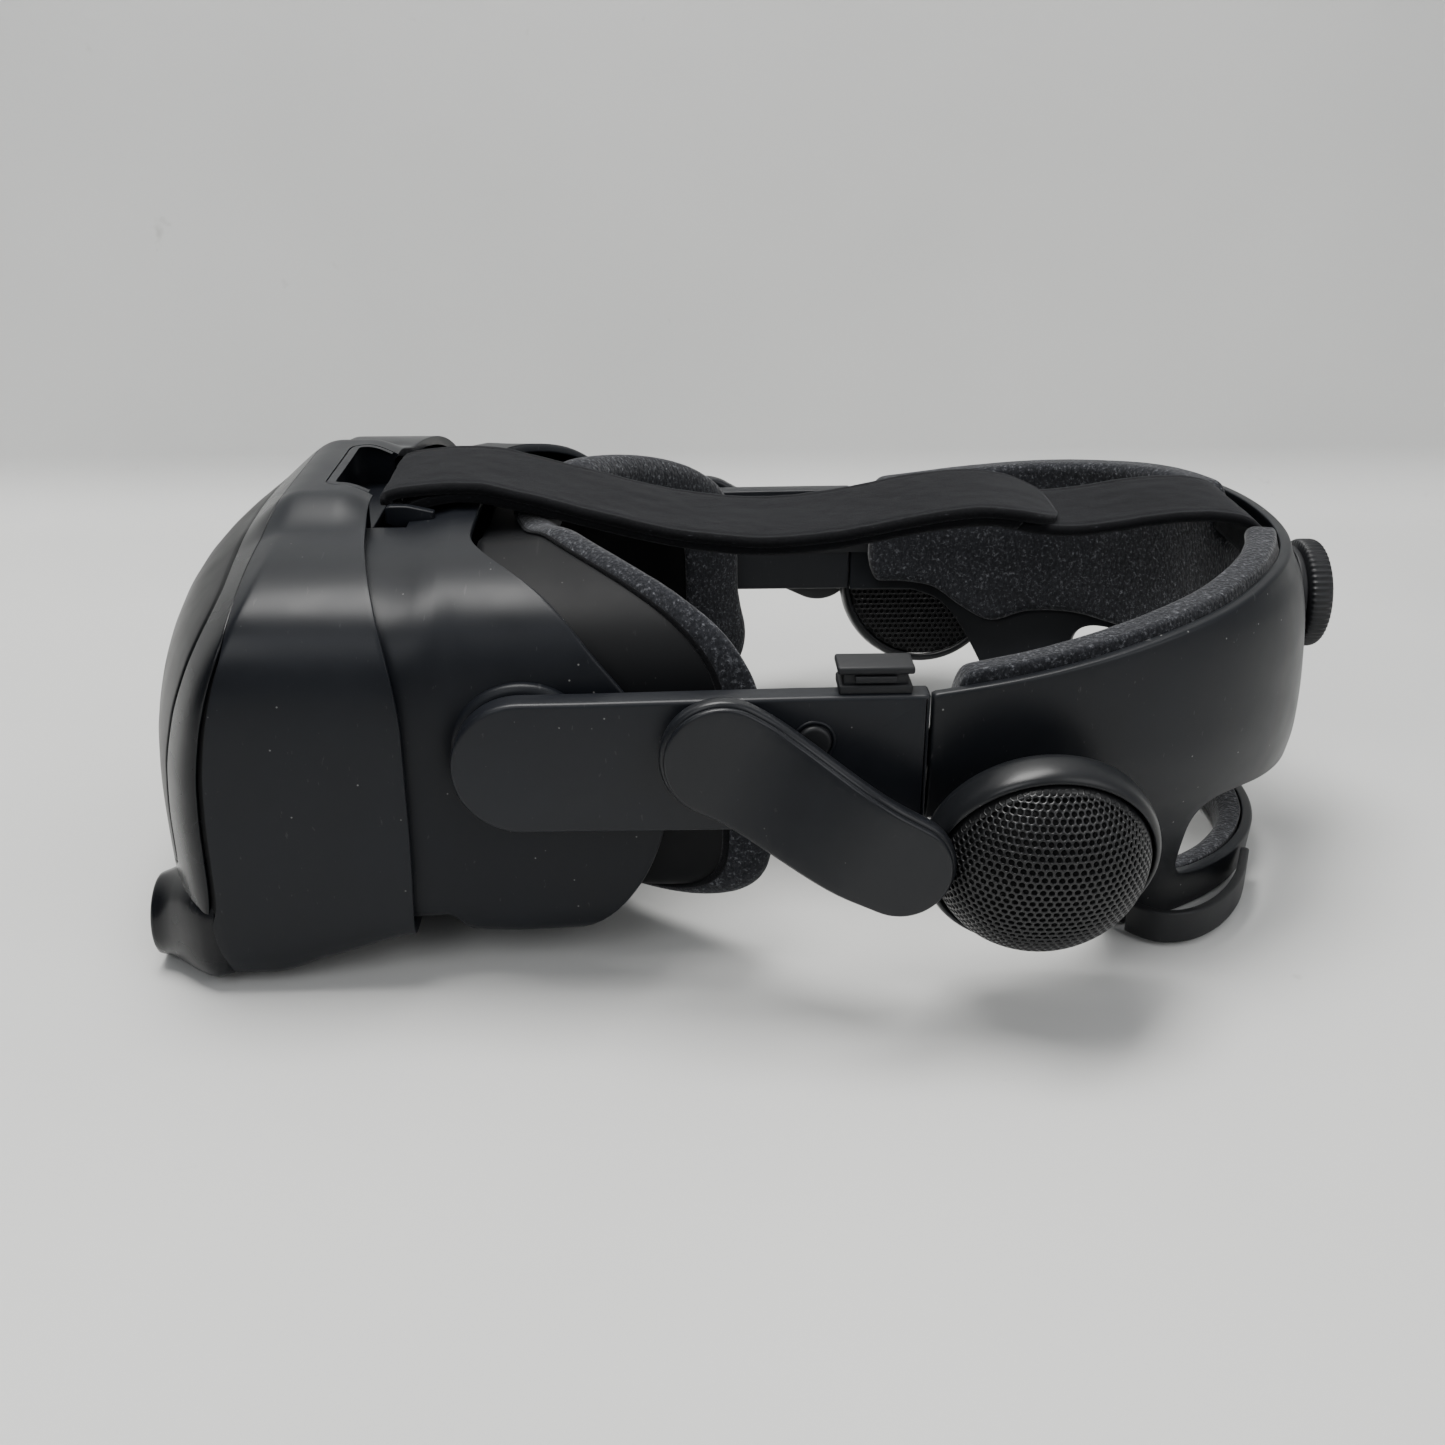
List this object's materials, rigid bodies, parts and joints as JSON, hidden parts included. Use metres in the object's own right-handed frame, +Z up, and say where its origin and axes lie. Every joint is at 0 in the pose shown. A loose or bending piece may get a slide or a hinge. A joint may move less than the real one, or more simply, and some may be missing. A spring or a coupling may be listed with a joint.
{
  "type": "vr headset",
  "caption": "Head-worn display visor with side arms, swinging off-ear speakers, padded rear cradle with a fit dial, and a soft top strap.",
  "frame": {"origin": "middle of the bounding box in plan, at the level of the surface it stands on", "axes": "+X from the visor back to the rear cradle, +Y to the wearer's right, +Z up"},
  "size_m": [0.3208, 0.2308, 0.1104],
  "materials": {
    "shell": "soft-touch satin black",
    "gloss": "polished black",
    "dark": "matt black",
    "steel": "turned",
    "alu": "stamped",
    "grille": "perforated black",
    "pcb": "solder mask",
    "lens": "clear optical",
    "pad_fabric": "heather grey knit over foam",
    "strap_fabric": "brushed loop fabric",
    "rubber": "matt"
  },
  "bodies": {
    "visor_frame": {"rear_housing": "shell", "strap_bar": "steel", "left_pivot_screw": "steel", "top_strap_front": "strap_fabric"},
    "front_body": {"front_housing": "shell", "bezel": "gloss", "optics_chassis": "dark", "main_board": "pcb", "heat_spreader": "alu", "ipd_rail": "steel", "frunk_tray": "dark", "usb_socket": "alu", "left_camera_barrel": "shell", "right_camera_barrel": "shell", "left_camera_window": "gloss", "right_camera_window": "gloss"},
    "front_cover": {"front_cover": "gloss"},
    "ipd_slider": {"ipd_slider": "dark"},
    "left_optics": {"left_lens_barrel": "dark", "left_lens": "lens", "left_display": "gloss"},
    "right_optics": {"right_lens_barrel": "dark", "right_lens": "lens", "right_display": "gloss"},
    "system_button": {"system_button": "dark"},
    "eye_relief_dial": {"eye_relief_knob": "dark", "eye_relief_pinion": "steel"},
    "face_gasket": {"gasket_frame": "dark", "gasket_foam": "pad_fabric"},
    "strap_frame": {"left_arm": "shell", "right_arm": "shell", "cable_clip": "gloss", "left_rack": "dark", "right_rack": "dark"},
    "cradle": {"rear_cradle": "shell", "cradle_pad": "pad_fabric", "nape_pad": "pad_fabric", "gear_cover": "dark", "cable_loop": "rubber", "top_strap_rear": "strap_fabric"},
    "dial": {"fit_dial": "dark", "dial_pinion": "steel"},
    "left_speaker_arm": {"left_speaker_arm": "shell", "left_speaker_arm_cap": "shell"},
    "left_knuckle": {"left_knuckle": "dark"},
    "left_speaker": {"left_speaker_ring": "shell", "left_outer_grille": "grille", "left_driver": "dark", "left_inner_grille": "grille"},
    "right_speaker_arm": {"right_speaker_arm": "shell", "right_speaker_arm_cap": "shell"},
    "right_knuckle": {"right_knuckle": "dark"},
    "right_speaker": {"right_speaker_ring": "shell", "right_outer_grille": "grille", "right_driver": "dark", "right_inner_grille": "grille"}
  },
  "joints": [
    {"name": "eye_relief", "type": "slide", "parent": "visor_frame", "child": "front_body", "axis": [-1, 0, 0], "range_m": [-0.004, 0.005]},
    {"name": "eye_relief_turn", "type": "hinge", "parent": "visor_frame", "child": "eye_relief_dial", "pos_m": [-0.0577, 0.0906, 0.061], "axis": [0, 1, 0], "range_deg": [-121, 151]},
    {"name": "front_cover_pull", "type": "slide", "parent": "front_body", "child": "front_cover", "axis": [-1, 0, 0], "range_m": [0, 0.03]},
    {"name": "left_lens_slide", "type": "slide", "parent": "front_body", "child": "left_optics", "axis": [0, 1, 0], "range_m": [-0.0028, 0.0028]},
    {"name": "right_lens_slide", "type": "slide", "parent": "front_body", "child": "right_optics", "axis": [0, 1, 0], "range_m": [-0.0028, 0.0028]},
    {"name": "ipd_slide", "type": "slide", "parent": "front_body", "child": "ipd_slider", "axis": [0, 1, 0], "range_m": [-0.0035, 0.0035]},
    {"name": "system_button_press", "type": "slide", "parent": "front_body", "child": "system_button", "axis": [0, 0, 1], "range_m": [0, 0.0008], "stiffness_N_per_m": 600, "springref_m": -0.0008},
    {"name": "gasket_pull", "type": "slide", "parent": "visor_frame", "child": "face_gasket", "axis": [1, 0, 0], "range_m": [0, 0.03]},
    {"name": "visor_tilt", "type": "hinge", "parent": "visor_frame", "child": "strap_frame", "pos_m": [-0.0577, 0, 0.061], "axis": [0, 1, 0], "range_deg": [-12, 8], "deforming": ["top_strap_front"]},
    {"name": "cradle_slide", "type": "slide", "parent": "strap_frame", "child": "cradle", "axis": [1, 0, 0], "range_m": [0, 0.016], "deforming": ["top_strap_rear"]},
    {"name": "dial_turn", "type": "hinge", "parent": "cradle", "child": "dial", "pos_m": [0.1537, 0, 0.0709], "axis": [1, 0, 0], "range_deg": [0, 303]},
    {"name": "left_speaker_arm_turn", "type": "hinge", "parent": "strap_frame", "child": "left_speaker_arm", "pos_m": [-0.0112, -0.091, 0.066], "axis": [0, 1, 0], "range_deg": [-10, 8]},
    {"name": "left_knuckle_turn", "type": "hinge", "parent": "left_speaker_arm", "child": "left_knuckle", "pos_m": [0.037, -0.1054, 0.0426], "axis": [0, 1, 0], "range_deg": [-12, 12]},
    {"name": "left_speaker_swing", "type": "hinge", "parent": "left_knuckle", "child": "left_speaker", "pos_m": [0.037, -0.1054, 0.0426], "axis": [0, 0, 1], "range_deg": [-15, 3]},
    {"name": "right_speaker_arm_turn", "type": "hinge", "parent": "strap_frame", "child": "right_speaker_arm", "pos_m": [-0.0112, 0.091, 0.066], "axis": [0, 1, 0], "range_deg": [-10, 8]},
    {"name": "right_knuckle_turn", "type": "hinge", "parent": "right_speaker_arm", "child": "right_knuckle", "pos_m": [0.037, 0.1054, 0.0426], "axis": [0, 1, 0], "range_deg": [-12, 12]},
    {"name": "right_speaker_swing", "type": "hinge", "parent": "right_knuckle", "child": "right_speaker", "pos_m": [0.037, 0.1054, 0.0426], "axis": [0, 0, 1], "range_deg": [-3, 15]}
  ],
  "couplings": [
    {"joint": "eye_relief_turn", "follows": "eye_relief", "rad_per_m": 523.6},
    {"joint": "right_lens_slide", "follows": "left_lens_slide", "ratio": -1},
    {"joint": "ipd_slide", "follows": "left_lens_slide", "ratio": 1.25},
    {"joint": "dial_turn", "follows": "cradle_slide", "rad_per_m": 330}
  ]
}
